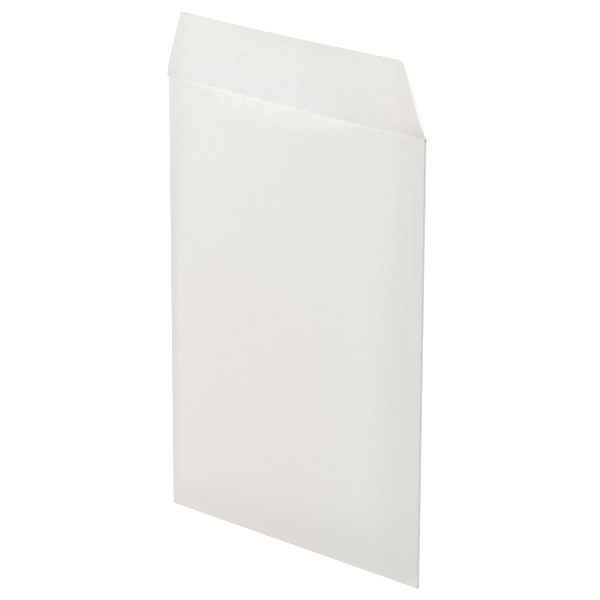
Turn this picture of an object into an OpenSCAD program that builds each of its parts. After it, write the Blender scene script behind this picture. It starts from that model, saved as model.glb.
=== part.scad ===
// Pocket envelope for C5 sheets, folded from one sheet of paper, lying on its front with its flap open.
// The sheet runs in one strip: flap, front panel, bottom fold, back panel. Two seam flaps turn in from
// the sides of the front panel and are gummed under the back panel. X is the width, Y runs from the
// bottom fold to the flap, and Z is up. The origin is on the ground, under the middle of the envelope.

/* [Sheet] */
// Thickness of the paper
paper_t = 0.13; // [0.08:0.01:0.25]
// Colour of the paper
paper_colour = "#eceae6"; // ["#eceae6":White, "#d8c9a8":Buff, "#c9a36b":Brown]

/* [Pocket] */
// Width over the two side folds
pocket_w = 162; // [90:1:260]
// Height from the bottom fold to the crease of the flap
pocket_h = 229; // [140:1:360]
// Outer radius at which the sides are folded
fold_r = 0.35; // [0.3:0.05:0.9]
// How far the mouth of the back panel lies below the crease
throat = 1; // [0.5:0.5:3]
// How far the back panel rises in its middle
swell = 2.3; // [0.5:0.1:3.5]
// Width over which the swell levels out beside the seam flaps
swell_turn = 14; // [6:1:24]
// Length of the slope of the swell at the bottom fold
foot_slope = 10; // [6:1:24]
// Length of the slope of the swell at the ends of the mouth
mouth_slope = 9; // [4:1:18]
// Share of the swell by which the mouth edge sinks back
mouth_dip = 0.3; // [0:0.01:0.4]
// Length over which the mouth edge sinks back
mouth_dip_l = 12; // [8:1:24]

/* [Seams] */
// Width of each seam flap
seam_w = 18; // [10:1:28]
// How far the cut sides of the back panel lie inside the straight part of the seam flaps
seam_inset = 0.3; // [0.1:0.1:1.5]
// Height at which the seam flaps begin
seam_foot = 2.5; // [2:0.5:8]
// How far the seam flaps end below the crease
seam_head = 5; // [5:1:20]
// Angle at which the ends of the seam flaps are cut
seam_angle = 20; // [5:1:30]

/* [Flap] */
// Length of the flap from its crease
flap_l = 35.5; // [25:0.5:60]
// Slope of the cut sides of the flap, at their root
flap_root_slope = 0.35; // [0:0.05:0.35]
// Slope of the cut sides of the flap, past their shoulders
flap_slope = 0.37; // [0.3:0.01:0.6]
// Length of the curved shoulders of the flap
shoulder_l = 8; // [4:1:16]
// Radius of the corners of the flap
flap_corner_r = 2.2; // [1:0.1:5]
// How far the root of the flap stands out past the side folds
flap_overhang = 0.4; // [0:0.1:0.8]
// Clearance between the lifted sheet and the back panel at the ends of the mouth
mouth_clearance = 0.16; // [0.05:0.01:0.3]
// Lean of the flap at its crease, in degrees
flap_lean = 14; // [4:1:30]
// Lean of the flap at its tip, in degrees
tip_lean = 2; // [0:0.5:4]
// Length over which the flap straightens
lean_l = 8; // [4:1:15]
// How far the flap is bowed across its width
flap_bow = 1.5; // [0:0.1:2.5]

/* [Detail] */
// Facets across each seam flap
seam_cols = 4; // [2:1:8]
// Facets across the sheet between the seam flaps
middle_cols = 18; // [8:2:32]
// Facets round each fold
fold_steps = 6; // [4:1:10]
// Facets up the seams
seam_rows = 20; // [10:1:32]
// Facets up the flap
flap_rows = 9; // [6:1:16]

/* [Hidden] */

// Facets below the seam flaps, above them, and round each corner of the flap
foot_rows = 2;
head_rows = 4;
corner_rows = 3;
// How much more closely the rows of facets on the flap lie at its root than at its tip
row_spread = 1.3;
// Length over which the slant at the ends of the seam flaps dies out in the rows of facets
shear_share = 2.2;
shear_l = shear_share * seam_w;
// Length of the notch where a seam flap is cut from the throat
notch_l = 0.6;

half_w = pocket_w / 2;
fold_x = half_w - fold_r;
seam_x = fold_x - seam_inset;
free_x = half_w - seam_w;
foot_r = fold_r + paper_t / 2;
back_z = 2 * fold_r;
mouth_y = pocket_h - throat;
seam_end = pocket_h - seam_head;
seam_cut = tan(seam_angle);
mouth_lift = back_z - paper_t - mouth_clearance;
crease_lift = mouth_lift + throat * tan(flap_lean);

// Share of a rise that starts at d = 0 with a straight slope and then turns level
function rise(d, slope_l, turn_l) =
    (d <= 0 ? 0
    : d < slope_l ? d
    : d < slope_l + turn_l ? d - (d - slope_l) * (d - slope_l) / (2 * turn_l)
    : slope_l + turn_l / 2) / (slope_l + turn_l / 2);

// Share of the way from a to b, held between 0 and 1
function part_way(v, a, b) = min(1, max(0, (v - a) / (b - a)));

// Height that the swell adds to the back panel
function swell_z(x, y) =
    let (side_l = seam_w + (mouth_slope - seam_w) * part_way(y, seam_end - seam_w, mouth_y),
         side = rise(fold_x - abs(x), side_l, swell_turn),
         foot = rise(y - foot_r, foot_slope, foot_slope),
         dip = part_way(y, mouth_y - mouth_dip_l, mouth_y))
    side * swell * (foot - mouth_dip * dip * dip);

// Height to which the throat and the flap lift, at a length s past the crease, or below it if negative
function lift_z(s) =
    s <= -throat ? mouth_lift * pow(part_way(s, -seam_head, -throat), 2)
    : s <= 0 ? crease_lift + s * tan(flap_lean)
    : crease_lift + s * tan(tip_lean) + lean_l * (tan(flap_lean) - tan(tip_lean)) * (1 - exp(-s / lean_l));

// Half the width of the flap at a length s past the crease, without its corners
function flap_half_w(s) =
    half_w + flap_overhang
    - (s < shoulder_l
        ? flap_root_slope * s + (flap_slope - flap_root_slope) * s * s / (2 * shoulder_l)
        : flap_slope * s - (flap_slope - flap_root_slope) * shoulder_l / 2);

// Angle of the cut sides of the flap, and the tangent points of a corner on them
side_angle = atan(flap_slope);
corner_l = flap_corner_r * (1 - sin(side_angle));
corner_x = flap_half_w(flap_l) - flap_corner_r * (1 - sin(side_angle)) / cos(side_angle);

// Half the width of the sheet at height y on the front panel, the throat and the flap
function front_half_w(y) =
    let (s = y - pocket_h, c = s - flap_l + flap_corner_r)
    y <= seam_foot ? seam_x + (fold_x - seam_x) * part_way(y, foot_r, seam_foot)
    : y <= seam_end ? fold_x
    : s < 0 ? fold_x + (half_w - fold_x) * part_way(y, seam_end, seam_end + notch_l)
        + flap_overhang * part_way(y, mouth_y - notch_l, mouth_y)
    : s <= flap_l - corner_l ? flap_half_w(s)
    : corner_x + sqrt(max(0, pow(flap_corner_r, 2) - c * c));

// Columns of points across the sheet, the same in every row
col_x = concat(
    [for (i = [0 : seam_cols - 1]) -seam_x + (seam_x - free_x) * i / seam_cols],
    [for (i = [0 : middle_cols]) -free_x + 2 * free_x * i / middle_cols],
    [for (i = [1 : seam_cols]) free_x + (seam_x - free_x) * i / seam_cols]);
last_col = len(col_x) - 1;

// Heights of the rows of points on the body, measured at the side folds
body_y = concat(
    [for (j = [0 : foot_rows - 1]) foot_r + (seam_foot - foot_r) * j / foot_rows],
    [for (j = [0 : seam_rows]) seam_foot + (seam_end - seam_foot) * j / seam_rows],
    [seam_end + notch_l],
    [for (j = [1 : head_rows]) seam_end + notch_l + (mouth_y - seam_end - notch_l) * j / head_rows]);
mouth_row = len(body_y) - 1;
first_seam_row = foot_rows;
last_seam_row = foot_rows + seam_rows;

// Lengths past the crease of the rows of points on the flap
flap_s = concat(
    [for (j = [0 : flap_rows]) (flap_l - corner_l) * pow(j / flap_rows, row_spread)],
    [for (j = [1 : corner_rows])
        let (a = side_angle + (90 - side_angle) * j / corner_rows)
        flap_l - flap_corner_r * (1 - sin(a))]);
flap_row_count = len(flap_s);

// Slant of a row beside the ends of the seam flaps
function row_cut(y) =
    y < seam_foot ? seam_cut * part_way(y, foot_r, seam_foot)
    : y > seam_end ? -seam_cut * (1 - part_way(y, seam_end, mouth_y))
    : seam_cut * (1 - part_way(y, seam_foot, seam_foot + shear_l) - part_way(y, seam_end - shear_l, seam_end));

// Height of a row on the back panel and the seam flaps, which follows their slanted ends
function back_y(x, y) = y + row_cut(y) * (fold_x - max(abs(x), free_x));

// A point of the front panel, the throat or the flap: level 0 is the outside of the sheet, 1 the inside
function front_point(i, y, level) =
    let (w = front_half_w(y), x = col_x[i] * w / seam_x, across = x / w)
    [x, y, lift_z(y - pocket_h) + flap_bow * (1 - across * across) * part_way(y, mouth_y, pocket_h + flap_l)
        + level * paper_t];

// A point of the bottom fold, at an angle from the front panel
function foot_point(i, angle, level) =
    let (r = foot_r - level * paper_t)
    [col_x[i], foot_r - r * sin(angle), foot_r - r * cos(angle)];

// A point of the back panel
function back_point(i, y, level) =
    let (x = col_x[i], row_y = back_y(x, y))
    [x, row_y, back_z + swell_z(x, row_y) + (1 - level) * paper_t];

// The strip of sheet from the tip of the flap to the mouth edge, as rows of points
function strip_points(level) = concat(
    [for (j = [flap_row_count - 1 : -1 : 0], i = [0 : last_col]) front_point(i, pocket_h + flap_s[j], level)],
    [for (j = [mouth_row : -1 : 0], i = [0 : last_col]) front_point(i, body_y[j], level)],
    [for (k = [1 : fold_steps - 1], i = [0 : last_col]) foot_point(i, 180 * k / fold_steps, level)],
    [for (j = [0 : mouth_row], i = [0 : last_col]) back_point(i, body_y[j], level)]);

row_len = last_col + 1;
front_start = flap_row_count;
foot_start = front_start + mouth_row + 1;
back_start = foot_start + fold_steps - 1;
strip_rows = back_start + mouth_row + 1;
strip_len = strip_rows * row_len;

// A side fold and its seam flap, as columns of points that run up the seam.
// The fold has outer and inner points, and the seam flap only inner ones, because the gum joins its
// outer face to the back panel.
function fold_point(side, y, angle, level) =
    let (r = fold_r - level * paper_t)
    [side * (fold_x + r * sin(angle)), y, fold_r - r * cos(angle)];
function seam_point(side, i, y) =
    let (x = side * abs(col_x[i]), row_y = back_y(x, y))
    [x, row_y, back_z - paper_t + swell_z(x, row_y)];

function seam_points(side) = concat(
    [for (k = [1 : fold_steps], j = [first_seam_row : last_seam_row])
        fold_point(side, body_y[j], 180 * k / fold_steps, 0)],
    [for (k = [1 : fold_steps], j = [first_seam_row : last_seam_row])
        fold_point(side, body_y[j], 180 * k / fold_steps, 1)],
    [for (i = [0 : seam_cols], j = [first_seam_row : last_seam_row]) seam_point(side, i, body_y[j])]);
seam_len = seam_rows + 1;
seam_total = (2 * fold_steps + seam_cols + 1) * seam_len;

// Two triangles between each pair of steps along two lines of points
function strip(a, b) =
    [for (k = [0 : len(a) - 2]) each [[a[k], a[k + 1], b[k + 1]], [a[k], b[k + 1], b[k]]]];
function turned_strip(a, b, side) = side > 0 ? strip(a, b) : strip(b, a);

// Numbers of points: a row of the strip between two columns, and a column of it between two rows
function row_line(r, level, from = 0, to = last_col) =
    [for (i = [from : to]) level * strip_len + r * row_len + i];
function col_line(i, level, from, to) =
    [for (r = [from : to]) level * strip_len + r * row_len + i];

function front_row(j) = front_start + mouth_row - j;
function back_row(j) = back_start + j;

// The two faces of the strip. The inner face leaves out the gummed seams of the back panel.
outer_faces = [for (r = [0 : strip_rows - 2]) each strip(row_line(r + 1, 0), row_line(r, 0))];
inner_faces = [for (r = [0 : strip_rows - 2])
    let (gummed = r >= back_row(first_seam_row) && r < back_row(last_seam_row),
         from = gummed ? seam_cols : 0,
         to = gummed ? last_col - seam_cols : last_col)
    each strip(row_line(r, 1, from, to), row_line(r + 1, 1, from, to))];

// The cut edges at the tip of the flap and at the mouth
end_faces = concat(
    strip(row_line(0, 0), row_line(0, 1)),
    strip(row_line(strip_rows - 1, 1), row_line(strip_rows - 1, 0)));

// The cut edges along one side of the strip, above and below the side fold
function side_faces(side) =
    let (i = side > 0 ? last_col : 0)
    concat(
        turned_strip(col_line(i, 0, 0, front_row(last_seam_row)),
            col_line(i, 1, 0, front_row(last_seam_row)), side),
        turned_strip(col_line(i, 0, front_row(first_seam_row), strip_rows - 1),
            col_line(i, 1, front_row(first_seam_row), strip_rows - 1), side));

// One side fold with its seam flap
function seam_faces(side) =
    let (start = 2 * strip_len + (side > 0 ? 0 : seam_total),
         edge = side > 0 ? last_col : 0,
         rows = [first_seam_row : last_seam_row],
         front_out = [for (j = rows) front_row(j) * row_len + edge],
         front_in = [for (j = rows) strip_len + front_row(j) * row_len + edge],
         line = function (n) [for (j = [0 : seam_rows]) start + n * seam_len + j],
         back_in = function (i) [for (j = rows) strip_len + back_row(j) * row_len + edge - side * i],
         outer = concat([front_out], [for (k = [0 : fold_steps - 1]) line(k)], [back_in(0)]),
         inner = concat([front_in], [for (k = [fold_steps : 2 * fold_steps + seam_cols]) line(k)]),
         gummed = [for (i = [0 : seam_cols]) back_in(i)],
         end_out = concat([for (c = [0 : fold_steps]) outer[c]], gummed))
    concat(
        [for (c = [0 : len(outer) - 2]) each turned_strip(outer[c + 1], outer[c], side)],
        [for (c = [0 : len(inner) - 2]) each turned_strip(inner[c], inner[c + 1], side)],
        turned_strip(inner[len(inner) - 1], gummed[seam_cols], side),
        turned_strip([for (l = inner) l[0]], [for (l = end_out) l[0]], side),
        turned_strip([for (l = end_out) l[seam_rows]], [for (l = inner) l[seam_rows]], side));

module envelope() {
    color(paper_colour)
        translate([0, -(pocket_h + flap_l) / 2, 0]) polyhedron(
            points = concat(strip_points(0), strip_points(1), seam_points(1), seam_points(-1)),
            faces = concat(outer_faces, inner_faces, end_faces,
                side_faces(1), side_faces(-1), seam_faces(1), seam_faces(-1)),
            convexity = 8);
}

envelope();
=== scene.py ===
"""A paper pocket envelope: a flat blank is folded, gummed, dressed as white envelope paper and lit."""

import math

import bpy
from bpy.props import FloatProperty, FloatVectorProperty, IntProperty, PointerProperty
from bpy.types import Operator, Panel, PropertyGroup
from mathutils import Matrix, Vector


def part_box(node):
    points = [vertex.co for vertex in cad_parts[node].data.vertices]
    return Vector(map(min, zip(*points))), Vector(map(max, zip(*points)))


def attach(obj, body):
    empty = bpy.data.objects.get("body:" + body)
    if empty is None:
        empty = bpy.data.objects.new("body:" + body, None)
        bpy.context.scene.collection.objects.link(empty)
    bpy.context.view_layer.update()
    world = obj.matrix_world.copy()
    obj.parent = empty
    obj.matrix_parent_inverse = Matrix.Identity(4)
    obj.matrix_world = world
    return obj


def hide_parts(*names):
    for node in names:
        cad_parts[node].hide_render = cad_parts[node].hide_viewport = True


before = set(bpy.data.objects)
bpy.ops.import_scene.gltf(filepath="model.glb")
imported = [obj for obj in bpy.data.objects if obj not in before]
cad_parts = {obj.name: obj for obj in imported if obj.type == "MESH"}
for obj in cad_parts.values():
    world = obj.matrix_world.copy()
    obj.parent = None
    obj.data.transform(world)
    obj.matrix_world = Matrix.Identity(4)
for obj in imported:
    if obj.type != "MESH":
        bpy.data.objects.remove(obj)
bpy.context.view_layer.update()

bl_info = {
    "name": "Pocket Envelope",
    "version": (1, 0, 0),
    "blender": (4, 5, 0),
    "location": "3D View > Sidebar > Envelope",
    "description": "Folds a paper pocket envelope from a flat blank and sets it on a pale floor",
    "category": "Add Mesh",
}

MM = 0.001
NODE = "envelope"
BOX_LOW, BOX_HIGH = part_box(NODE)

# A gap too thin to see, and the turn past which an edge looks sharp
HAIR = 0.01 * MM
SHARP_TURN = math.radians(40)


# Wires: node trees written as expressions

class Wire:
    """An output socket of a node tree. Python's operators on it add Math nodes to the tree."""

    def __init__(self, socket):
        self.socket = socket
        self.tree = socket.id_data

    def math(self, operation, *others):
        sockets = {0: self, **{i + 1: other for i, other in enumerate(others)}}
        return add(self.tree, "ShaderNodeMath", {"operation": operation}, sockets)

    def reflected(self, operation, other):
        return add(self.tree, "ShaderNodeMath", {"operation": operation}, {0: other, 1: self})

    def __add__(self, other):
        return self.math("ADD", other)

    def __sub__(self, other):
        return self.math("SUBTRACT", other)

    def __mul__(self, other):
        return self.math("MULTIPLY", other)

    def __truediv__(self, other):
        return self.math("DIVIDE", other)

    def __pow__(self, other):
        return self.math("POWER", other)

    def __gt__(self, other):
        return self.math("GREATER_THAN", other)

    def __lt__(self, other):
        return self.math("LESS_THAN", other)

    def __radd__(self, other):
        return self.reflected("ADD", other)

    def __rsub__(self, other):
        return self.reflected("SUBTRACT", other)

    def __rmul__(self, other):
        return self.reflected("MULTIPLY", other)

    def __rtruediv__(self, other):
        return self.reflected("DIVIDE", other)

    def __neg__(self):
        return 0 - self

    def __abs__(self):
        return self.math("ABSOLUTE")


def add(tree, kind, settings=None, sockets=None, output=0):
    """Adds a node. Its settings are set first, then the values or links of its sockets."""
    made = tree.nodes.new(kind)
    for name, value in (settings or {}).items():
        setattr(made, name, value)
    for key, value in (sockets or {}).items():
        if isinstance(value, Wire):
            tree.links.new(value.socket, made.inputs[key])
        else:
            made.inputs[key].default_value = value
    return Wire(made.outputs[output]) if len(made.outputs) else made


def least(wire, limit):
    return wire.math("MINIMUM", limit)


def most(wire, limit):
    return wire.math("MAXIMUM", limit)


def part_way(value, start, end):
    """The part of the way from start to end, held between 0 and 1."""
    return least(most((value - start) / (end - start), 0), 1)


def rise(value, start, end):
    """0 up to the start and 1 past the end, with a soft slope between them."""
    part = part_way(value, start, end)
    return part * part * (3 - 2 * part)


def fade(value, start, end):
    """1 up to the start and 0 past the end, with a soft slope between them."""
    return 1 - rise(value, start, end)


def between(part, first, second):
    """The value a part of the way from the first value to the second."""
    return first + (second - first) * part


def parts_of(whole, parts):
    """Two places on a length, given as parts of it."""
    return whole * parts[0], whole * parts[1]


def bell(distance, middle, width):
    """1 at the middle, falling off in a rounded way over the width."""
    off = (distance - middle) / width
    return (-off * off).math("EXPONENT")


def bare_tree(owner):
    """The node tree of a material or a world, cleared of its first nodes."""
    owner.use_nodes = True
    owner.node_tree.nodes.clear()
    return owner.node_tree


def axes_of(tree, vector):
    """The three numbers of a vector."""
    outputs = add(tree, "ShaderNodeSeparateXYZ", None, {0: vector}).socket.node.outputs
    return [Wire(socket) for socket in outputs]


def noise(tree, vector, scale, detail, roughness):
    """Even noise from -0.5 to 0.5."""
    sockets = {"Vector": vector, "Scale": scale, "Detail": detail, "Roughness": roughness}
    return add(tree, "ShaderNodeTexNoise", None, sockets) - 0.5


def stretched(tree, vector, factors):
    """A vector whose parts are multiplied by three factors."""
    return add(tree, "ShaderNodeVectorMath", {"operation": "MULTIPLY"}, {0: vector, 1: factors})


def mixed(tree, part, first, second, blend="MIX"):
    """The way from the first colour to the second, or to the product of both."""
    settings = {"data_type": "RGBA", "blend_type": blend}
    return add(tree, "ShaderNodeMix", settings, {0: part, 6: first, 7: second}, 2)


def shade(base, factor=1.0):
    """A colour made darker or lighter, with its fourth part."""
    return (*(min(1, part * factor) for part in base), 1)


# Settings

def length(name, description, default):
    return FloatProperty(
        name=name, description=description, default=default, min=0, max=10, unit="LENGTH", precision=5)


def place(name, description, default):
    return FloatProperty(name=name, description=description, default=default, unit="LENGTH", precision=5)


def angle(name, description, default):
    return FloatProperty(name=name, description=description, default=math.radians(default), unit="ROTATION")


def share(name, description, default):
    return FloatProperty(name=name, description=description, default=default, min=0, max=1, subtype="FACTOR")


def plain(name, description, default):
    return FloatProperty(name=name, description=description, default=default, min=0, max=100)


def colour(name, description, default):
    return FloatVectorProperty(
        name=name, description=description, default=default, min=0, max=1, size=3, subtype="COLOR")


class EnvelopePocket(PropertyGroup):
    """Sizes of the pocket, its mouth and its seams."""
    paper_t: length("Paper thickness", "Thickness of the sheet", 0.13 * MM)
    gum_t: length("Gum thickness", "Gap that the gum fills in the side seams", 0.02 * MM)
    overhang: length("Overhang", "How far the flap's root stands out past the side folds", 0.4 * MM)
    fold_r: length("Fold radius", "Outer radius at which the sides are folded", 0.35 * MM)
    seam_w: length("Seam width", "Width of each seam flap", 18 * MM)
    seam_inset: length("Seam inset", "How far the back panel's cut sides lie inside the seam flaps", 0.3 * MM)
    seam_foot: length("Seam foot", "Height at which the seam flaps begin", 2.5 * MM)
    seam_head: length("Seam head", "How far the seam flaps end below the crease", 1.5 * MM)
    seam_angle: angle("Seam angle", "Angle at which the ends of the seam flaps are cut", 20)
    throat: length("Throat", "How far the mouth of the back panel lies below the crease", 0.6 * MM)
    throat_l: length("Throat length", "Length over which the front panel rises to the mouth", 7.5 * MM)
    throat_side: length("Throat side", "Width at the folds over which that length grows", 12 * MM)
    clearance: length("Mouth clearance", "Clearance between the sheet and the mouth's ends", 0.16 * MM)
    mouth_sag: length("Mouth sag", "How much lower the mouth lies in its middle", 0.75 * MM)
    sag_l: length("Sag length", "Length of the back panel that sags below its mouth", 12 * MM)


class EnvelopeSwell(PropertyGroup):
    """How the back panel swells away from the front panel, and how the sheet waves."""
    height: length("Height", "How far the back panel rises where it is highest", 2.8 * MM)
    left_l: length("Left edge", "Width of its first rise at the left", 6 * MM)
    left_rise: length("Left rise", "How far it first rises at the left", 0.3 * MM)
    left_slope: plain("Left slope", "Slope of the swell across, from the left", 0.016)
    mouth_fall: share("Mouth fall", "How much less it slopes at the left of the mouth than below it", 0.45)
    right_slope: plain("Right slope", "Slope of the swell at the right", 0.11)
    right_fall: share("Right fall", "How much less it slopes at the right of the mouth than below it", 0.15)
    foot_slope: plain("Foot slope", "Slope of the swell over the bottom fold", 0.095)
    round_off: length("Rounding", "Height within which its slopes run into each other", 1.7 * MM)
    bulge: length("Mouth bulge", "How far the back panel bulges just below its mouth", 0.8 * MM)
    follow: share("Follow", "Share of the mouth's bulge that the front panel and the flap follow", 0.8)
    follow_l: length("Follow length", "Length below the crease over which the front panel follows", 25 * MM)
    dip: plain("Mouth dip", "Slope at which the mouth edge bends back down", 0.15)
    dip_l: length("Mouth dip length", "Length over which the mouth edge bends back down", 15 * MM)
    ridge: length("Ridge", "Height of the ridges that the gum raises in the right seam", 0.11 * MM)
    cockle: length("Cockle", "Height of the gentle waves of the sheet", 0.12 * MM)
    cockle_w: length("Cockle width", "Width of the gentle waves of the sheet", 38 * MM)
    flap_cockle: plain("Flap cockle", "How many times as high the waves are in the flap", 1.5)
    seed: IntProperty(name="Seed", description="Seed of the waves of the sheet", default=7, min=0)


class EnvelopeFlap(PropertyGroup):
    """Sizes of the closing flap."""
    flap_l: length("Length", "Length of the flap from its crease", 35.5 * MM)
    root_slope: plain("Root slope", "Slope of the cut sides at their root", 0.35)
    side_slope: plain("Side slope", "Slope of the cut sides past their shoulders", 0.37)
    shoulder_l: length("Shoulders", "Length of the curved shoulders", 8 * MM)
    corner_r: length("Corner radius", "Radius of the two corners", 2.2 * MM)
    shift: length("Shift", "How far the flap is cut off centre, to the left", 0.5 * MM)
    lean: angle("Lean", "Lean of the flap at its crease", 11)
    tip_lean: angle("Tip lean", "Lean of the flap at its tip", 1.5)
    lean_l: length("Lean length", "Length over which the flap straightens", 8 * MM)
    side_curl: share("Side curl", "How much more the sides of the flap lean than its middle", 0.3)
    corner_lean: plain("Corner lean", "How much more the right end of the root rises", 0.2)
    twist: length("Twist", "How far the left corner of the tip stands above its middle", 1.2 * MM)
    bow: length("Bow", "How far the flap is bowed across its width", 1.6 * MM)


class EnvelopePaper(PropertyGroup):
    """Colours and surface of the paper."""
    outside: colour("Outside", "Colour of the smooth outer side", (0.8005, 0.79, 0.759))
    inside: colour("Inside", "Colour of the whiter inner side", (0.932, 0.927, 0.914))
    cut: colour("Cut edge", "Colour of the fresh fibres at the cut edges", (0.8, 0.79, 0.77))
    blush: colour("Blush", "Tint of the back panel low on its left half", (1.0, 0.978, 0.985))
    mottle: share("Mottle", "Strength of the cloudy mottling", 0.05)
    gloss: share("Gloss", "Level of the reflections", 0.3)
    roughness: share("Roughness", "Roughness of the outer side", 0.78)
    rougher: share("Rougher inside", "How much rougher the inner side is", 0.08)
    relief: length("Relief", "Height of the grain of the surface", 0.05 * MM)
    relief_share: share("Relief share", "Strength of the grain of the surface", 0.12)
    # The rim of the mouth is a painted highlight, a pale strip along the mouth edge
    rim_w: length("Rim", "Width of the pale rim of the mouth", 0.7 * MM)
    rim_highlight: share("Rim tone", "How far the rim of the mouth is as pale as a cut edge", 0.2)
    # The nick is painted shade only, a dark spot at the mouth edge
    nick_x: length("Nick place", "Place of a small nick in the mouth edge, from the left fold", 49.6 * MM)
    nick_w: length("Nick width", "Half the width of the nick", 0.3 * MM)
    nick_l: length("Nick length", "Length of the nick", 1.2 * MM)
    nick_tone: share("Nick tone", "Strength of the nick's shade", 0.4)


class EnvelopeBands(PropertyGroup):
    """Darker bands of painted shade on the back panel, beside its folds and over its right seam."""
    tone: share("Tone", "How much a band of full strength darkens the paper", 0.17)
    left_full_w: length("Full width at the left", "Width of the left band's darkest part", 1.5 * MM)
    left_w: length("Left width", "Width of the left band", 7.5 * MM)
    left_top_w: length("Left width above", "Width of the left band near the mouth", 13 * MM)
    left_share: plain("Left strength", "Strength of the left band", 1.15)
    left_foot_share: plain("Left strength at the foot", "Strength of the left band at the foot", 0.8)
    left_top_loss: share("Left loss above", "How much weaker the left band is at the mouth", 0.5)
    right_w: length("Right width", "Width of the narrow right band at the foot", 4.5 * MM)
    right_top_w: length("Right width above", "Width of the narrow right band at the mouth", 1.8 * MM)
    right_share: share("Right strength", "Strength of the narrow right band", 0.25)
    seam_w: length("Seam width", "Width of the soft band over the right seam", 36 * MM)
    seam_top_w: length("Seam width above", "Width of that band near the mouth", 18 * MM)
    seam_share: share("Seam strength", "Strength of the soft band over the right seam", 0.25)
    foot_left_w: length("Foot width at the left", "Height of the foot band at the left", 24 * MM)
    foot_w: length("Foot width", "Height of the foot band from the middle to the right", 60 * MM)
    foot_left_share: share("Foot strength at the left", "Strength of the foot band at the left", 0.65)
    foot_share: share("Foot strength", "Strength of the foot band from the middle to the right", 0.44)
    foot_edge_share: share("Foot edge", "Share of it at the bottom fold itself", 0.3)
    foot_edge_w: length("Foot edge width", "Height over which the foot band gains its strength", 9 * MM)
    foot_blur: length("Foot blur", "How unevenly the foot band ends", 18 * MM)


class EnvelopeFlapShade(PropertyGroup):
    """Painted shade on the inner side of the flap, part of it tinted like dried gum."""
    # Past the crease the flap is darkened by a tint of dried gum that is also painted shade, evening its tone
    # with its darker, leaning root
    gum: share("Gum", "How much the dried gum dulls the flap's inner side", 0.11)
    gum_and_shade_l: length("Gum length", "Length past the crease over which the gum thickens", 10 * MM)
    gum_and_shade_colour: colour("Gum colour", "Colour of the dried gum", (0.15, 0.13, 0.05))
    # Painted shade at the right end of the flap's root, along its sides and along its tip
    flap_shade: share("Soil", "How much the flap is soiled by handling", 0.075)
    flap_shade_colour: colour("Soil colour", "Colour of the soil", (0.40, 0.22, 0.08))
    right: plain("Right", "Strength of the soil at the right end of the root", 1.25)
    right_loss: share("Right loss", "How much weaker that soil is towards the tip", 0.72)
    edge_start: share("Edge start", "Where the soil along the sides begins, from the middle", 0.79)
    tip: share("Tip", "Strength of the soil along the tip", 0.45)
    tip_start: share("Tip start", "Share of the flap's length where that soil begins", 0.75)


class EnvelopeStage(PropertyGroup):
    """Camera, floor and light."""
    aim_x: place("Aim across", "Aim of the camera across", 5.803 * MM)
    aim_y: place("Aim along", "Aim of the camera along", -0.133 * MM)
    aim_z: place("Aim up", "Height at which the camera aims", 2 * MM)
    distance: length("Distance", "Distance of the camera", 1.63222)
    turn: angle("Turn", "How far the camera stands to the right of the sheet's normal", 40.436)
    tip: angle("Tip", "How far the camera stands above the sheet's normal", 19.956)
    roll: angle("Roll", "Roll of the camera", 0.170)
    lens: FloatProperty(name="Lens", description="Focal length", default=201.546, unit="CAMERA")
    level: plain("Level", "Level of all the light, at which white paper renders as written", 0.974)
    key_share: share("Key share", "Share of the light that comes from the large lamp", 0.65)
    key_side: angle("Key side", "Direction of the large lamp, from the flap to the left", 55)
    key_height: angle("Key height", "Height of the large lamp above the floor", 33)
    key_size: length("Key size", "Side of the large lamp", 2.0)
    key_distance: length("Key distance", "Distance of the lamps", 4.0)
    fill: plain("Fill", "Light of the low lamp at the right, where it falls square", 0.4)
    fill_side: angle("Fill side", "Direction of the low lamp, from the flap to the left", -90)
    fill_height: angle("Fill height", "Height of the low lamp above the floor", 9)
    floor_reach: length("Floor reach", "Half the side of the floor", 6.0)
    floor_colour: colour("Floor", "Colour of the floor", (0.9, 0.9, 0.9))
    floor_lift: share("Floor lift", "Light that the floor shows the camera and casts on nothing", 0.68)


GROUPS = {
    "envelope_pocket": EnvelopePocket,
    "envelope_swell": EnvelopeSwell,
    "envelope_flap": EnvelopeFlap,
    "envelope_paper": EnvelopePaper,
    "envelope_bands": EnvelopeBands,
    "envelope_soil": EnvelopeFlapShade,
    "envelope_stage": EnvelopeStage,
}


# The blank

# Steps between its rows and columns
FINE_STEP = 1 * MM
FINEST_STEP = 0.25 * MM
BACK_STEP = 2.2 * MM
FRONT_STEP = 2.8 * MM
ROOT_STEP = 0.7 * MM
FLAP_STEP = 1.5 * MM
CORNER_STEP = 0.15
TURN_STEPS = 12

# Columns from the side folds inwards, in parts of the half width: the first ones, then even steps
FOLD_COLUMNS = (0, 0.003, 0.008, 0.015, 0.023, 0.031, 0.04)
SEAM_COLUMNS = (0.05, 0.2)
SEAM_COLUMN_STEP = 0.01
COLUMN_STEP = 0.025

# Stretches with finer rows: above the seam flaps' foot, below the mouth and past the crease
FOOT_FINE_L = 10 * MM
MOUTH_FINE_L = 12 * MM
MOUTH_FINEST_L = 2 * MM
ROOT_FINE_L = 10 * MM

# Length over which the front panel widens into the flap
NOTCH_L = 0.6 * MM

# Runs that differ by less are the same, and points on one spot of a fine grid are one point
SAME = 1e-9
SPOTS_PER_M = 1e8


def unique_steps(*runs):
    """Joins runs of rising numbers into one, without repeats."""
    joined = []
    for run in runs:
        joined += [v for v in run if not joined or v > joined[-1] + SAME]
    return joined


def spaced(start, end, step):
    """Even steps from start to end, about as wide as the step given."""
    count = max(1, round((end - start) / step))
    return [start + (end - start) * i / count for i in range(count + 1)]


def pocket_height(flap):
    return BOX_HIGH.y - BOX_LOW.y - flap.flap_l


def half_width(pocket):
    return (BOX_HIGH.x - BOX_LOW.x) / 2 - pocket.overhang


def side_fold_x(pocket):
    """Where the side folds begin to turn."""
    return half_width(pocket) - pocket.fold_r


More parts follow.
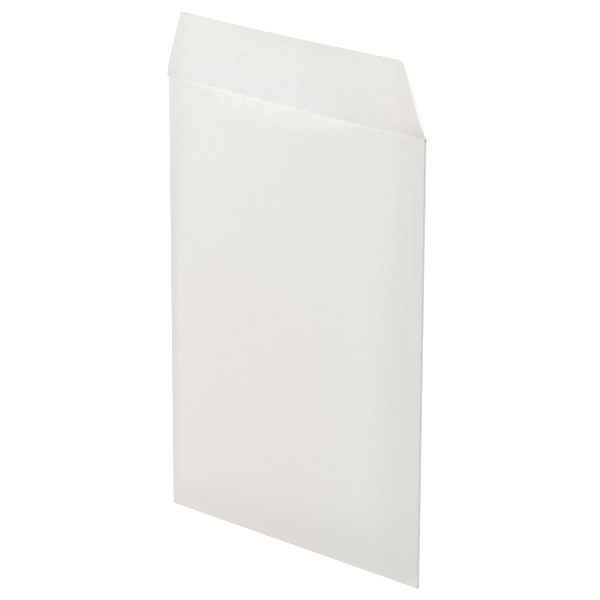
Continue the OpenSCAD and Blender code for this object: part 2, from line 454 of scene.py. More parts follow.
def foot_radius(pocket):
    """The outer radius of the bottom fold, which passes round the side folds and the gum."""
    return pocket.fold_r + (pocket.paper_t + pocket.gum_t) / 2


def corner_length(flap):
    """How much of the flap's length its round corners take."""
    return flap.corner_r * (1 - math.sin(math.atan(flap.side_slope)))


def flap_loss(s, flap):
    """How much narrower each side of the flap is at a length s past the crease."""
    slope_change = flap.side_slope - flap.root_slope
    if s < flap.shoulder_l:
        return flap.root_slope * s + slope_change * s * s / (2 * flap.shoulder_l)
    return flap.side_slope * s - slope_change * flap.shoulder_l / 2


def flap_half_width(s, pocket, flap):
    """Half the width of the flap at a length s past the crease."""
    root_half = half_width(pocket) + pocket.overhang
    if s <= flap.flap_l - corner_length(flap):
        return root_half - flap_loss(s, flap)
    tip_half = root_half - flap_loss(flap.flap_l, flap)
    corner_x = tip_half - corner_length(flap) / math.cos(math.atan(flap.side_slope))
    c = s - flap.flap_l + flap.corner_r
    return corner_x + math.sqrt(max(0, flap.corner_r ** 2 - c * c))


def foot_heights(pocket):
    """Heights of the fine rows above the bottom fold, which the front and the back panel share."""
    return unique_steps(
        spaced(foot_radius(pocket), pocket.seam_foot, FINE_STEP),
        spaced(pocket.seam_foot, pocket.seam_foot + FOOT_FINE_L, FINE_STEP))


def back_rows(pocket, flap):
    """Rows of the back panel, from the mouth edge to the bottom fold, then those of the bottom fold."""
    foot_r = foot_radius(pocket)
    mouth_y = pocket_height(flap) - pocket.throat
    seam_x = side_fold_x(pocket) - pocket.seam_inset
    heights = unique_steps(
        foot_heights(pocket),
        spaced(pocket.seam_foot + FOOT_FINE_L, mouth_y - MOUTH_FINE_L, BACK_STEP),
        spaced(mouth_y - MOUTH_FINE_L, mouth_y - MOUTH_FINEST_L, FINE_STEP),
        spaced(mouth_y - MOUTH_FINEST_L, mouth_y, FINEST_STEP))
    turn_l = math.pi * foot_r
    rows = [(-turn_l - (y - foot_r), seam_x) for y in reversed(heights)]
    return rows + [(-turn_l * (1 - k / TURN_STEPS), seam_x) for k in range(1, TURN_STEPS)]


def front_rows(pocket, flap):
    """Rows of the front panel, from the bottom fold to just below the crease."""
    foot_r = foot_radius(pocket)
    mouth_y = pocket_height(flap) - pocket.throat
    seam_end = pocket_height(flap) - pocket.seam_head
    fold_x = side_fold_x(pocket)
    seam_x = fold_x - pocket.seam_inset
    heights = unique_steps(
        foot_heights(pocket),
        spaced(pocket.seam_foot + FOOT_FINE_L, seam_end, FRONT_STEP),
        [seam_end + NOTCH_L],
        spaced(seam_end + NOTCH_L, mouth_y - NOTCH_L, FINE_STEP),
        [mouth_y])
    rows = []
    for y in heights:
        if y <= pocket.seam_foot:
            half = seam_x + (fold_x - seam_x) * (y - foot_r) / (pocket.seam_foot - foot_r)
        elif y <= seam_end + SAME:
            half = fold_x
        else:
            widened = max(0, min(1, (y - mouth_y + NOTCH_L) / NOTCH_L))
            half = half_width(pocket) + pocket.overhang * widened
        rows.append((y - foot_r, half))
    return rows


def flap_rows(pocket, flap):
    """Rows of the flap, from its crease to its tip."""
    start = pocket_height(flap) - foot_radius(pocket)
    corner_turns = spaced(math.atan(flap.side_slope), math.pi / 2, CORNER_STEP)
    lengths = unique_steps(
        spaced(0, ROOT_FINE_L, ROOT_STEP),
        spaced(ROOT_FINE_L, flap.flap_l - corner_length(flap), FLAP_STEP),
        [flap.flap_l - flap.corner_r * (1 - math.sin(turn)) for turn in corner_turns])
    return [(start + s, flap_half_width(s, pocket, flap)) for s in lengths]


def strip_rows(pocket, flap):
    """Rows of the middle strip of the blank, from the mouth edge to the flap's tip: (run, half width).

    The run is measured along the sheet, from the line where the front panel starts at the bottom fold.
    """
    return back_rows(pocket, flap) + front_rows(pocket, flap) + flap_rows(pocket, flap)


def strip_columns():
    """Places of the columns across the sheet, from -1 at its left to 1 at its right."""
    from_fold = list(FOLD_COLUMNS)
    from_fold += spaced(*SEAM_COLUMNS, SEAM_COLUMN_STEP)
    from_fold += spaced(from_fold[-1], 1, COLUMN_STEP)[1:]
    right = [1 - v for v in reversed(from_fold)]
    return [-v for v in reversed(right[1:])] + right


class Blank:
    """Points and outer faces of the flat blank. Each point knows how far across the sheet it lies."""

    def __init__(self):
        self.points = []
        self.across = []
        self.faces = []
        self.index = {}

    def point(self, x, y, over):
        key = (round(x * SPOTS_PER_M), round(y * SPOTS_PER_M))
        if key not in self.index:
            self.index[key] = len(self.points)
            self.points.append((x, y))
            self.across.append(over)
        return self.index[key]

    def add_strip(self, rows):
        """The back panel, front panel and flap, in rows from the mouth edge to the tip."""
        columns = strip_columns()
        lines = [[self.point(c * half, run, c) for c in columns] for run, half in rows]
        for low, high in zip(lines, lines[1:]):
            for i in range(len(columns) - 1):
                self.faces.append((low[i], high[i], high[i + 1], low[i + 1]))

    def add_seam_flap(self, side, runs, pocket):
        """A seam flap with slanted ends, in columns from its fold outwards."""
        turn_l = math.pi * pocket.fold_r
        edge_l = turn_l + pocket.seam_w - pocket.fold_r
        columns = unique_steps(
            spaced(0, turn_l, turn_l / TURN_STEPS),
            spaced(turn_l, edge_l, FINE_STEP))
        lines = []
        for d in columns:
            cut = math.tan(pocket.seam_angle) * max(0, d - turn_l)
            left = 1 - 2 * cut / (runs[-1] - runs[0])
            x = side * (side_fold_x(pocket) + d)
            lines.append([self.point(x, runs[0] + cut + (run - runs[0]) * left, side) for run in runs])
        for near, far in zip(lines, lines[1:]):
            for j in range(len(near) - 1):
                face = (near[j], near[j + 1], far[j + 1], far[j])
                self.faces.append(face if side > 0 else face[::-1])

    def rim_faces(self):
        """Faces that close the cut edges between the outer side and the inner side."""
        count = len(self.points)
        edges = dict.fromkeys(pair for face in self.faces for pair in zip(face, face[1:] + face[:1]))
        return [(b, a, a + count, b + count) for a, b in edges if (b, a) not in edges]

    def mesh(self, paper_t):
        """The blank as a closed sheet, lying with its inner side up."""
        count = len(self.points)
        inner = [tuple(v + count for v in reversed(face)) for face in self.faces]
        rims = self.rim_faces()
        spots = [(x, y, level) for level in (0, paper_t) for x, y in self.points]
        mesh = bpy.data.meshes.new("blank")
        mesh.from_pydata(spots, [], self.faces + inner + rims)
        inside = [0.0] * len(self.faces) + [1.0] * len(inner) + [0.0] * len(rims)
        cut = [0.0] * (len(self.faces) + len(inner)) + [1.0] * len(rims)
        flat = [v for spot in spots for v in spot]
        mesh.attributes.new("across", "FLOAT", "POINT").data.foreach_set("value", self.across * 2)
        mesh.attributes.new("blank", "FLOAT_VECTOR", "POINT").data.foreach_set("vector", flat)
        mesh.attributes.new("inner_side", "FLOAT", "FACE").data.foreach_set("value", inside)
        mesh.attributes.new("cut_edge", "FLOAT", "FACE").data.foreach_set("value", cut)
        mesh.update()
        return mesh


def blank_mesh(pocket, flap):
    """The die-cut blank: the middle strip with a seam flap on each side of its front panel."""
    blank = Blank()
    rows = strip_rows(pocket, flap)
    blank.add_strip(rows)
    low = pocket.seam_foot - foot_radius(pocket)
    high = pocket_height(flap) - pocket.seam_head - foot_radius(pocket)
    runs = [run for run, half in rows if low - SAME <= run <= high + SAME]
    for side in (-1, 1):
        blank.add_seam_flap(side, runs, pocket)
    return blank.mesh(pocket.paper_t)


# The folding

# Where the bulge of the mouth rises and falls across, from the left fold, in parts of half the width
BULGE_RISES = (0.15, 0.65)
BULGE_FALLS = (1.0, 1.65)

# Heights where the swell begins to change on its way up, in parts of the height of the mouth
LEFT_FALL_FROM = 0.4
RIGHT_FALL_FROM = 0.6
BULGE_FROM = 0.45

# Ridges of the right seam: place from the fold, width, start and end below the mouth, part of full height
RIDGES = (
    (6.5 * MM, 1.4 * MM, 18 * MM, 85 * MM, 1.0),
    (11 * MM, 1.6 * MM, 35 * MM, 150 * MM, 0.7),
    (15.5 * MM, 1.6 * MM, 20 * MM, 95 * MM, 0.6),
)
RIDGE_HEAD_L = 12 * MM
RIDGE_FOOT_L = 30 * MM

# The ends of the mouth edge bend back down within this part of the length that its middle takes
END_DIP = 0.05

# The extra lean of the flap's right corner grows across the flap with this power
CORNER_POWER = 6

# The waves grow from the sides and the foot over this part of half the width
HELD_PART = 0.3

# Detail and roughness of the waves' noise
WAVE_DETAIL = 1.5
WAVE_ROUGHNESS = 0.5


def fold_inputs(pocket, swell, flap):
    """Names and values of the inputs of the folding."""
    return {
        "Pocket half width": half_width(pocket),
        "Pocket height": pocket_height(flap),
        "Paper thickness": pocket.paper_t,
        "Gum thickness": pocket.gum_t,
        "Fold radius": pocket.fold_r,
        "Seam head": pocket.seam_head,
        "Throat": pocket.throat,
        "Throat length": pocket.throat_l,
        "Throat side": pocket.throat_side,
        "Mouth clearance": pocket.clearance,
        "Mouth sag": pocket.mouth_sag,
        "Sag length": pocket.sag_l,
        "Swell": swell.height,
        "Left edge": swell.left_l,
        "Left rise": swell.left_rise,
        "Left slope": swell.left_slope,
        "Mouth fall": swell.mouth_fall,
        "Right slope": swell.right_slope,
        "Right fall": swell.right_fall,
        "Foot slope": swell.foot_slope,
        "Rounding": swell.round_off,
        "Mouth bulge": swell.bulge,
        "Follow": swell.follow,
        "Follow length": swell.follow_l,
        "Mouth dip": swell.dip,
        "Mouth dip length": swell.dip_l,
        "Ridge": swell.ridge,
        "Cockle": swell.cockle,
        "Cockle width": swell.cockle_w,
        "Flap cockle": swell.flap_cockle,
        "Seed": float(swell.seed),
        "Flap length": flap.flap_l,
        "Flap rise at its crease": math.tan(flap.lean),
        "Flap rise at its tip": math.tan(flap.tip_lean),
        "Lean length": flap.lean_l,
        "Side curl": flap.side_curl,
        "Corner lean": flap.corner_lean,
        "Flap shift": flap.shift,
        "Flap twist": flap.twist,
        "Flap bow": flap.bow,
    }


class FoldedFlat:
    """Where each point of the blank comes to lie once the sides and the foot are folded flat."""

    def __init__(self, tree, size):
        self.tree = tree
        self.size = size
        fold_r = size["Fold radius"]
        foot_r = fold_r + (size["Paper thickness"] + size["Gum thickness"]) / 2
        self.fold_x = size["Pocket half width"] - fold_r
        self.mouth_y = size["Pocket height"] - size["Throat"]
        self.tip_y = size["Pocket height"] + size["Flap length"]

        flat_x, run, level = axes_of(tree, add(tree, "GeometryNodeInputPosition"))
        past_side = most(abs(flat_x) - self.fold_x, 0)
        side_angle = least(past_side / fold_r, math.pi)
        side_back = most(past_side - fold_r * math.pi, 0)
        foot_angle = least(most(-run / foot_r, 0), math.pi)
        foot_back = most(-run - foot_r * math.pi, 0)

        # Past the heads of the seam flaps the sides aren't folded
        unfolded = run + foot_r > size["Pocket height"] - size["Seam head"] + HAIR
        rolled = (fold_r - level) * side_angle.math("SINE") - side_back
        reach = least(abs(flat_x), self.fold_x)
        self.x = flat_x.math("SIGN") * (reach + rolled * (1 - unfolded) + past_side * unfolded)
        self.y = foot_r + most(run, 0) - (foot_r - level) * foot_angle.math("SINE") + foot_back
        self.z = (level + (fold_r - level) * (1 - side_angle.math("COSINE")) * (1 - unfolded)
                  + (foot_r - level) * (1 - foot_angle.math("COSINE")))

        self.from_left = self.x + self.fold_x
        self.from_right = self.fold_x - self.x
        self.from_foot = self.y - foot_r
        self.from_fold = self.fold_x - reach
        self.past_crease = self.y - size["Pocket height"]
        self.across = add(
            tree, "GeometryNodeInputNamedAttribute", {"data_type": "FLOAT"}, {"Name": "across"})
        self.upper = (side_back + foot_back) > 0
        self.front = run > 0
        self.flap_part = part_way(self.y, self.mouth_y, self.tip_y)
        self.bulge_arc = (rise(self.from_left, *parts_of(self.fold_x, BULGE_RISES))
                          * fade(self.from_left, *parts_of(self.fold_x, BULGE_FALLS)))


def pocket_swell(at):
    """Swell of the back panel and of the seam flaps under it: four slopes that run into each other."""
    size = at.size
    lower = 1 - size["Mouth fall"] * rise(at.y, at.mouth_y * LEFT_FALL_FROM, at.mouth_y)
    left = size["Left rise"] + at.from_left * size["Left slope"] * lower
    left_edge = at.from_left * (size["Left rise"] / size["Left edge"] + size["Left slope"])
    right_lower = 1 - size["Right fall"] * rise(at.y, at.mouth_y * RIGHT_FALL_FROM, at.mouth_y)
    right = at.from_right * size["Right slope"] * right_lower
    swell = least(left_edge, left)
    for slope in (right, at.from_foot * size["Foot slope"], size["Swell"]):
        swell = swell.math("SMOOTH_MIN", slope, size["Rounding"])
    return most(swell, 0)


def mouth_form(at):
    """The middle of the mouth bulges, and its edge bends back down in an arc."""
    size = at.size
    full_l = size["Mouth dip length"]
    bulge = at.bulge_arc * rise(at.y, at.mouth_y * BULGE_FROM, at.mouth_y - full_l)
    dip_l = full_l * between(at.bulge_arc, END_DIP, 1)
    dip = part_way(at.y, at.mouth_y - dip_l, at.mouth_y)
    return bulge * size["Mouth bulge"] - dip * dip * dip_l * size["Mouth dip"] / 2


def seam_ridges(at):
    """Low ridges along the right seam, where the gum draws the paper."""
    depth = at.mouth_y - at.y
    ridges = 0
    for from_fold, width, start, end, height in RIDGES:
        stretch = rise(depth, start, start + RIDGE_HEAD_L) * fade(depth, end - RIDGE_FOOT_L, end)
        ridges = bell(at.from_right, from_fold, width) * stretch * height + ridges
    return ridges * at.size["Ridge"]


def throat_lift(at):
    """The front panel rises to the mouth, steeply at its sides and gently in its middle."""
    size = at.size
    height = size["Fold radius"] * 2 - size["Paper thickness"] - size["Mouth clearance"]
    lift_l = between(rise(at.from_fold, 0, size["Throat side"]), size["Seam head"], size["Throat length"])
    part = part_way(at.past_crease, -lift_l, -size["Throat"])
    follow = rise(at.past_crease, -size["Follow length"], -size["Throat"]) * size["Follow"]
    return height * part * part + at.bulge_arc * size["Mouth bulge"] * follow


def flap_lean(at):
    """The flap leans up from its crease and straightens, most at its sides, with a bow and a twist."""
    size = at.size
    out = most(at.past_crease, 0)
    from_mouth = least(most(at.past_crease + size["Throat"], 0), size["Throat"])
    straight = size["Flap rise at its tip"]
    decay = (-out / size["Lean length"]).math("EXPONENT")
    curl = (size["Flap rise at its crease"] - straight) * (1 + size["Side curl"] * at.across * at.across)
    corner = most(at.across, 0) ** CORNER_POWER * size["Corner lean"]
    lean = (from_mouth + out) * straight + (from_mouth + size["Lean length"] * (1 - decay)) * curl
    bow = size["Flap bow"] * (1 - at.across * at.across) - size["Flap twist"] * at.across
    return lean + out * decay * corner + bow * at.flap_part


def gentle_waves(at):
    """Waves of the sheet, still at the gummed sides and at the bottom fold."""
    size = at.size
    spot = add(at.tree, "ShaderNodeCombineXYZ", None, {0: at.x, 1: at.y, 2: size["Seed"]})
    waves = noise(at.tree, spot, 1 / size["Cockle width"], WAVE_DETAIL, WAVE_ROUGHNESS)
    margin = at.fold_x * HELD_PART
    held = part_way(at.from_foot, 0, margin)
    for distance in (at.from_left, at.from_right):
        held = least(held, part_way(distance, 0, margin))
    free = at.upper * held + at.front * at.flap_part * size["Flap cockle"]
    return waves * size["Cockle"] * 2 * free


def folding_tree(inputs, material):
    """Folds the flat blank into the envelope and dresses it.

    Its sides and foot are folded first. Then the pocket swells, and the throat and the flap are lifted.
    """
    tree = bpy.data.node_groups.new("Fold the blank", "GeometryNodeTree")
    tree.interface.new_socket("Blank", in_out="INPUT", socket_type="NodeSocketGeometry")
    tree.interface.new_socket("Folded sheet", in_out="OUTPUT", socket_type="NodeSocketGeometry")
    for name in inputs:
        tree.interface.new_socket(name, in_out="INPUT", socket_type="NodeSocketFloat")
    entry = tree.nodes.new("NodeGroupInput")
    size = {name: Wire(entry.outputs[name]) for name in inputs}

    at = FoldedFlat(tree, size)
    swell = pocket_swell(at) + mouth_form(at) + seam_ridges(at)
    z = at.z + swell * at.upper + (throat_lift(at) + flap_lean(at)) * at.front + gentle_waves(at)
    x = at.x - size["Flap shift"] * part_way(at.past_crease, -size["Throat"], 0)
    near_mouth = part_way(at.y, at.mouth_y - size["Sag length"], at.mouth_y)
    y = at.y - at.tip_y / 2 - size["Mouth sag"] * at.upper * at.bulge_arc * near_mouth

    blank = Wire(entry.outputs["Blank"])
    lying = add(tree, "ShaderNodeCombineXYZ", None, {0: x, 1: y, 2: z})
    moved = add(tree, "GeometryNodeSetPosition", None, {"Geometry": blank, "Position": lying})
    real = add(tree, "GeometryNodeRealizeInstances", None, {"Geometry": moved})
    dressed = add(tree, "GeometryNodeSetMaterial", None, {"Geometry": real, "Material": material})
    add(tree, "NodeGroupOutput", None, {"Folded sheet": dressed})
    return tree


def through_tree(name, mesh, tree, inputs):
    """Runs a mesh through a Geometry Nodes tree and keeps the result as a plain mesh object."""
    carrier = bpy.data.objects.new("carrier", mesh)
    bpy.context.scene.collection.objects.link(carrier)
    modifier = carrier.modifiers.new("fold", "NODES")
    modifier.node_group = tree
    for item in tree.interface.items_tree:
        if item.item_type == "SOCKET" and item.in_out == "INPUT" and item.name in inputs:
            modifier[item.identifier] = inputs[item.name]
    bpy.context.view_layer.update()
    graph = bpy.context.evaluated_depsgraph_get()
    result = bpy.data.meshes.new_from_object(carrier.evaluated_get(graph), depsgraph=graph)
    carrier.modifiers.remove(modifier)
    bpy.data.objects.remove(carrier)
    result.name = name
    piece = bpy.data.objects.new(name, result)
    bpy.context.scene.collection.objects.link(piece)
    return piece


# The paper

# Grain of the paper: its scale, then the detail and roughness of its noise
CLOUD = (180, 3.0, 0.6)
FLOCK = (620, 2.0, 0.6)
FIBRE = (1700, 2.0, 0.65)
BLOTCH = (55, 3.0, 0.55)
FIBRE_STRETCH = (1.0, 0.5, 1.0)

# Strengths of clouds, flocks and fibres in the mottling of each side
OUTER_MOTTLE = (0.5, 1.1, 1.1)
INNER_MOTTLE = (0.85, 0.8, 1.2)
FIBRE_RELIEF = 0.5
FLOCK_ROUGHNESS = 0.05

# Heights over which the tones of the back panel change, in parts of the pocket's height
LEFT_STRENGTHENS = (0, 0.4)
LEFT_WEAKENS = (0.7, 1)
LEFT_WIDENS = (0.6, 0.9)
SEAM_NARROWS = (0.6, 0.95)
BLUSH_FADES_UP = (0.3, 0.85)

# Where they change across, from the left fold, in parts of half the width
FOOT_WEAKENS = (0, 0.6)
BLUSH_FADES_ACROSS = (0.9, 1.7)

# Parts of their widths in which the seam's band of painted shade and the painted highlight along the mouth
# have their full strength
SEAM_FULL = 0.35
RIM_FULL = 4 / 7

# Shades of the painted highlight along the mouth, as a factor of the cut edges' colour, and of the painted
# shade of the bands and the nick
RIM_HIGHLIGHT = 1.08
DARK = 0.5

# Where the painted shade at the flap's right grows across it, and where it weakens past the crease
RIGHT_SHADE = (-0.1, 1)
RIGHT_SHADE_FADES = (6 * MM, 30 * MM)


def attribute(tree, name, output):
    """A value that the blank's mesh holds. Its output is 1 for a vector and 2 for a number."""
    return add(tree, "ShaderNodeAttribute", {"attribute_name": name}, None, output)


class OnPaper:
    """Places on the flat blank and the grain of the paper, which its tones follow."""

    def __init__(self, tree, pocket, flap):
        self.tree = tree
        self.blank = attribute(tree, "blank", 1)
        self.across = attribute(tree, "across", 2)
        self.fold_x = side_fold_x(pocket)
        height = pocket_height(flap)
        foot_r = foot_radius(pocket)
        turn_l = math.pi * foot_r
        mouth_run = -turn_l - (height - pocket.throat - foot_r)

        flat_x, run = axes_of(tree, self.blank)[:2]
        self.back = run < -turn_l
        self.from_left = flat_x + self.fold_x
        self.from_right = self.fold_x - flat_x
        self.from_foot = -run - turn_l
        self.up = part_way(self.from_foot, 0, height)
        self.below_mouth = run - mouth_run
        self.past_crease = most(run - (height - foot_r), 0)

        self.cloud = noise(tree, self.blank, *CLOUD)
        self.flock = noise(tree, self.blank, *FLOCK)
        self.fibre = noise(tree, stretched(tree, self.blank, FIBRE_STRETCH), *FIBRE)


def mottled(at, base, mottle, strengths):
    """A colour that varies with the clouds, flocks and fibres of the paper."""
    cloud, flock, fibre = strengths
    tone = 0.5 + at.cloud * cloud + at.flock * flock + at.fibre * fibre
    return mixed(at.tree, tone, shade(base, 1 - mottle), shade(base, 1 + mottle))


def left_band(at, bands):
    """Strength of the painted shade beside the left fold, which is wider and weaker near the mouth."""
    strength = between(part_way(at.up, *LEFT_STRENGTHENS), bands.left_foot_share, bands.left_share)
    width = between(part_way(at.up, *LEFT_WIDENS), bands.left_w, bands.left_top_w)
    weaker = 1 - bands.left_top_loss * rise(at.up, *LEFT_WEAKENS)
    return fade(at.from_left, bands.left_full_w, width) * strength * weaker


def right_band(at, bands):
    """Strength of the narrow band of painted shade beside the right fold."""
    return fade(at.from_right, 0, between(at.up, bands.right_w, bands.right_top_w)) * bands.right_share


def seam_band(at, bands):
    """Strength of the soft band of painted shade over the right seam."""
    width = between(rise(at.up, *SEAM_NARROWS), bands.seam_w, bands.seam_top_w)
    return fade(at.from_right, width * SEAM_FULL, width) * bands.seam_share


def foot_band(at, bands):
    """Strength of the uneven band of painted shade over the foot, which is lower and stronger at the left."""
    width = between(rise(at.from_left, 0, at.fold_x), bands.foot_left_w, bands.foot_w)
    weaker = part_way(at.from_left, *parts_of(at.fold_x, FOOT_WEAKENS))
    strength = between(weaker, bands.foot_left_share, bands.foot_share)
    gained = between(part_way(at.from_foot, 0, bands.foot_edge_w), bands.foot_edge_share, 1)
    uneven = noise(at.tree, at.blank, *BLOTCH) * bands.foot_blur
    return fade(at.from_foot + uneven, 0, width) * strength * gained


def outer_colour(at, paper, bands):
    """The smooth outer side: warmer low at its left, darker in bands of painted shade, with a painted
    highlight along its mouth edge and the painted shade of a small nick in it.
    """
    clean = mottled(at, paper.outside, paper.mottle, OUTER_MOTTLE)
    low_left = (fade(at.up, *BLUSH_FADES_UP)
                * fade(at.from_left, *parts_of(at.fold_x, BLUSH_FADES_ACROSS)))
    tinted = mixed(at.tree, low_left * at.back, clean, shade(paper.blush), "MULTIPLY")
    # Painted shade in bands beside the folds, over the right seam and over the foot
    band_shade = most(left_band(at, bands), foot_band(at, bands)) + right_band(at, bands) + seam_band(at, bands)
    dark = shade(paper.outside, DARK)
    banded = mixed(at.tree, band_shade * at.back * bands.tone, tinted, dark)
    # Painted highlight: a pale strip along the mouth edge
    rim = 1 - part_way(at.below_mouth, paper.rim_w * RIM_FULL, paper.rim_w)
    highlighted = mixed(at.tree, rim * paper.rim_highlight, banded, shade(paper.cut, RIM_HIGHLIGHT))
    # Painted shade of a small nick: a dark spot at the mouth edge, with no notch in the sheet
    nick = (abs(at.from_left - paper.nick_x) < paper.nick_w) * (at.below_mouth < paper.nick_l) * at.back
    return mixed(at.tree, nick * paper.nick_tone, highlighted, dark)


def inner_colour(at, paper, flap_shade, flap):
    """The whiter inner side: past its root the flap is darkened by a tint of dried gum that is also painted
    shade, and painted shade darkens the right end of its root, its sides and its tip.
    """
    clean = mottled(at, paper.inside, paper.mottle, INNER_MOTTLE)
    # Painted shade with a dried gum tint, growing past the crease
    gum = (1 - (-at.past_crease / flap_shade.gum_and_shade_l).math("EXPONENT")) * flap_shade.gum
    gummed_and_shaded = mixed(at.tree, gum, clean, shade(flap_shade.gum_and_shade_colour))
    # Painted shade at the right end of the root, along the sides and along the tip
    near_root = 1 - flap_shade.right_loss * rise(at.past_crease, *RIGHT_SHADE_FADES)
    right = rise(at.across, *RIGHT_SHADE) * near_root * flap_shade.right
    tip = part_way(at.past_crease, flap.flap_l * flap_shade.tip_start, flap.flap_l) * flap_shade.tip
    edges = most(rise(abs(at.across), flap_shade.edge_start, 1), tip)
    return mixed(at.tree, (right + edges) * flap_shade.flap_shade, gummed_and_shaded, shade(flap_shade.flap_shade_colour))


def paper_material(pocket, flap, paper, bands, flap_shade):
    """White envelope paper: a smooth warm outer side, a whiter cloudy inner side and pale cut edges."""
    material = bpy.data.materials.new("envelope paper")
    tree = bare_tree(material)
    at = OnPaper(tree, pocket, flap)
    inner_side = attribute(tree, "inner_side", 2)
    sides = mixed(tree, inner_side, outer_colour(at, paper, bands), inner_colour(at, paper, flap_shade, flap))
    base = mixed(tree, attribute(tree, "cut_edge", 2), sides, shade(paper.cut))
    grain = at.fibre * FIBRE_RELIEF + at.flock
    bump = add(tree, "ShaderNodeBump", None, {
        "Strength": paper.relief_share, "Distance": paper.relief, "Height": grain})
    rough = paper.roughness + inner_side * paper.rougher + at.flock * FLOCK_ROUGHNESS
    shader = add(tree, "ShaderNodeBsdfPrincipled", None, {
        "Base Color": base, "Roughness": rough, "Specular IOR Level": paper.gloss, "Normal": bump})
    add(tree, "ShaderNodeOutputMaterial", None, {"Surface": shader})
    return material


# The stage

def straight_sight(tree):
    """1 where the camera sees a surface, also in a mirror or through glass, and 0 where light falls."""
    camera, glossy, through = (add(tree, "ShaderNodeLightPath", None, None, name)
                               for name in ("Is Camera Ray", "Is Glossy Ray", "Is Transmission Ray"))
    return most(most(camera, glossy), through)


def lay_floor(scene, stage):
    """A pale floor that the camera sees as white, with the object's soft shadow on it."""
    reach = stage.floor_reach
    ways = ((-1, -1), (1, -1), (1, 1), (-1, 1))
    mesh = bpy.data.meshes.new("floor")
    mesh.from_pydata([(reach * x, reach * y, -HAIR) for x, y in ways], [], [(0, 1, 2, 3)])
    floor = bpy.data.objects.new("floor", mesh)
    scene.collection.objects.link(floor)
    material = bpy.data.materials.new("pale floor")
    tree = bare_tree(material)
    base = add(tree, "ShaderNodeBsdfDiffuse", None, {"Color": shade(stage.floor_colour)})
    glow = add(tree, "ShaderNodeEmission", None, {"Strength": stage.floor_lift})
    both = add(tree, "ShaderNodeAddShader", None, {0: base, 1: glow})
    surface = add(tree, "ShaderNodeMixShader", None, {0: straight_sight(tree), 1: base, 2: both})
    add(tree, "ShaderNodeOutputMaterial", None, {"Surface": surface})
    mesh.materials.append(material)


def toward(side, height):
    """The direction at an angle from the flap to the left and an angle above the floor."""
    flat = math.cos(height)
    return Vector((-math.sin(side) * flat, math.cos(side) * flat, math.sin(height)))


def hang_lamp(scene, name, away, side, strength):
    """A square lamp turned to the middle of the floor. Its strength is its light where it falls square."""
    lamp = bpy.data.lights.new(name, "AREA")
    lamp.shape = "SQUARE"
    lamp.size = side
    lamp.energy = strength * (math.pi * away.length) ** 2
    hung = bpy.data.objects.new(name, lamp)
    hung.matrix_world = Matrix.Translation(away) @ away.to_track_quat("Z", "Y").to_matrix().to_4x4()
    scene.collection.objects.link(hung)


def hang_lights(scene, stage):
    """Even white light all round, a large soft lamp high at the left and a weak low one at the right."""
    world = bpy.data.worlds.new("soft room")
    scene.world = world
    tree = bare_tree(world)
    seen = straight_sight(tree)
    strength = seen + (1 - seen) * (stage.level * (1 - stage.key_share))
    back = add(tree, "ShaderNodeBackground", None, {"Color": (1, 1, 1, 1), "Strength": strength})
    add(tree, "ShaderNodeOutputWorld", None, {"Surface": back})

    key = toward(stage.key_side, stage.key_height) * stage.key_distance
    key_level = stage.level * stage.key_share / math.sin(stage.key_height)
    hang_lamp(scene, "key lamp", key, stage.key_size, key_level)
    fill = toward(stage.fill_side, stage.fill_height) * stage.key_distance
    hang_lamp(scene, "fill lamp", fill, stage.key_size / 2, stage.level * stage.fill)


def place_camera(scene, stage):
    """The camera looks down on the sheet from its right and from above its flap."""
    lens = bpy.data.cameras.new("camera")
    lens.lens = stage.lens
    lens.sensor_width = 36
    lens.clip_start = 0.05
    camera = bpy.data.objects.new("camera", lens)
    turned = (Matrix.Rotation(stage.turn, 4, "Y") @ Matrix.Rotation(-stage.tip, 4, "X")
              @ Matrix.Rotation(stage.roll, 4, "Z"))
    aim = Vector((stage.aim_x, stage.aim_y, stage.aim_z))
    stand = aim + turned.to_3x3() @ Vector((0, 0, stage.distance))
    camera.matrix_world = Matrix.Translation(stand) @ turned
    scene.collection.objects.link(camera)
    scene.camera = camera
    scene.view_settings.view_transform = "Standard"


# Operators

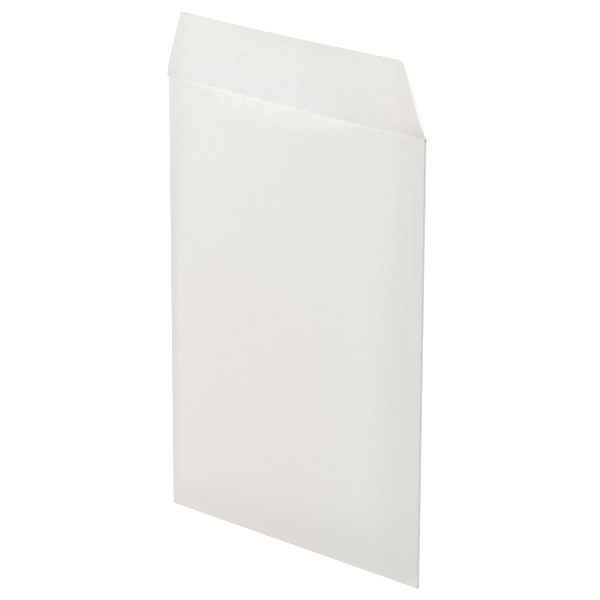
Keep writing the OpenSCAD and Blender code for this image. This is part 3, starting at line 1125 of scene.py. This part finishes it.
class ENVELOPE_OT_fold_sheet(Operator):
    """Cut the blank, fold it into the envelope and dress it as paper"""
    bl_idname = "envelope.fold_sheet"
    bl_label = "Fold the sheet"

    def execute(self, context):
        scene = context.scene
        pocket, flap = scene.envelope_pocket, scene.envelope_flap
        finish = scene.envelope_paper, scene.envelope_bands, scene.envelope_soil
        material = paper_material(pocket, flap, *finish)
        inputs = fold_inputs(pocket, scene.envelope_swell, flap)
        tree = folding_tree(inputs, material)
        sheet = through_tree("folded_sheet", blank_mesh(pocket, flap), tree, inputs)
        if not len(sheet.data.polygons):
            raise RuntimeError("the folded sheet came out empty")
        sheet.data.polygons.foreach_set("use_smooth", [True] * len(sheet.data.polygons))
        sheet.data.set_sharp_from_angle(angle=SHARP_TURN)
        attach(sheet, "root")
        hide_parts(NODE)
        return {"FINISHED"}


class ENVELOPE_OT_set_stage(Operator):
    """Lay the pale floor, hang the lamps and place the camera"""
    bl_idname = "envelope.set_stage"
    bl_label = "Set the stage"

    def execute(self, context):
        stage = context.scene.envelope_stage
        lay_floor(context.scene, stage)
        hang_lights(context.scene, stage)
        place_camera(context.scene, stage)
        return {"FINISHED"}


class VIEW3D_PT_envelope(Panel):
    """Lists the steps that make the envelope"""
    bl_idname = "VIEW3D_PT_envelope"
    bl_label = "Pocket envelope"
    bl_space_type = "VIEW_3D"
    bl_region_type = "UI"
    bl_category = "Envelope"

    def draw(self, context):
        for step in (ENVELOPE_OT_fold_sheet, ENVELOPE_OT_set_stage):
            self.layout.operator(step.bl_idname)


CLASSES = (*GROUPS.values(), ENVELOPE_OT_fold_sheet, ENVELOPE_OT_set_stage, VIEW3D_PT_envelope)


def register():
    for item in CLASSES:
        bpy.utils.register_class(item)
    for name, group in GROUPS.items():
        setattr(bpy.types.Scene, name, PointerProperty(type=group))


def unregister():
    for name in GROUPS:
        delattr(bpy.types.Scene, name)
    for item in reversed(CLASSES):
        bpy.utils.unregister_class(item)


def main():
    register()
    bpy.ops.envelope.fold_sheet()
    bpy.ops.envelope.set_stage()


if __name__ == "__main__":
    main()
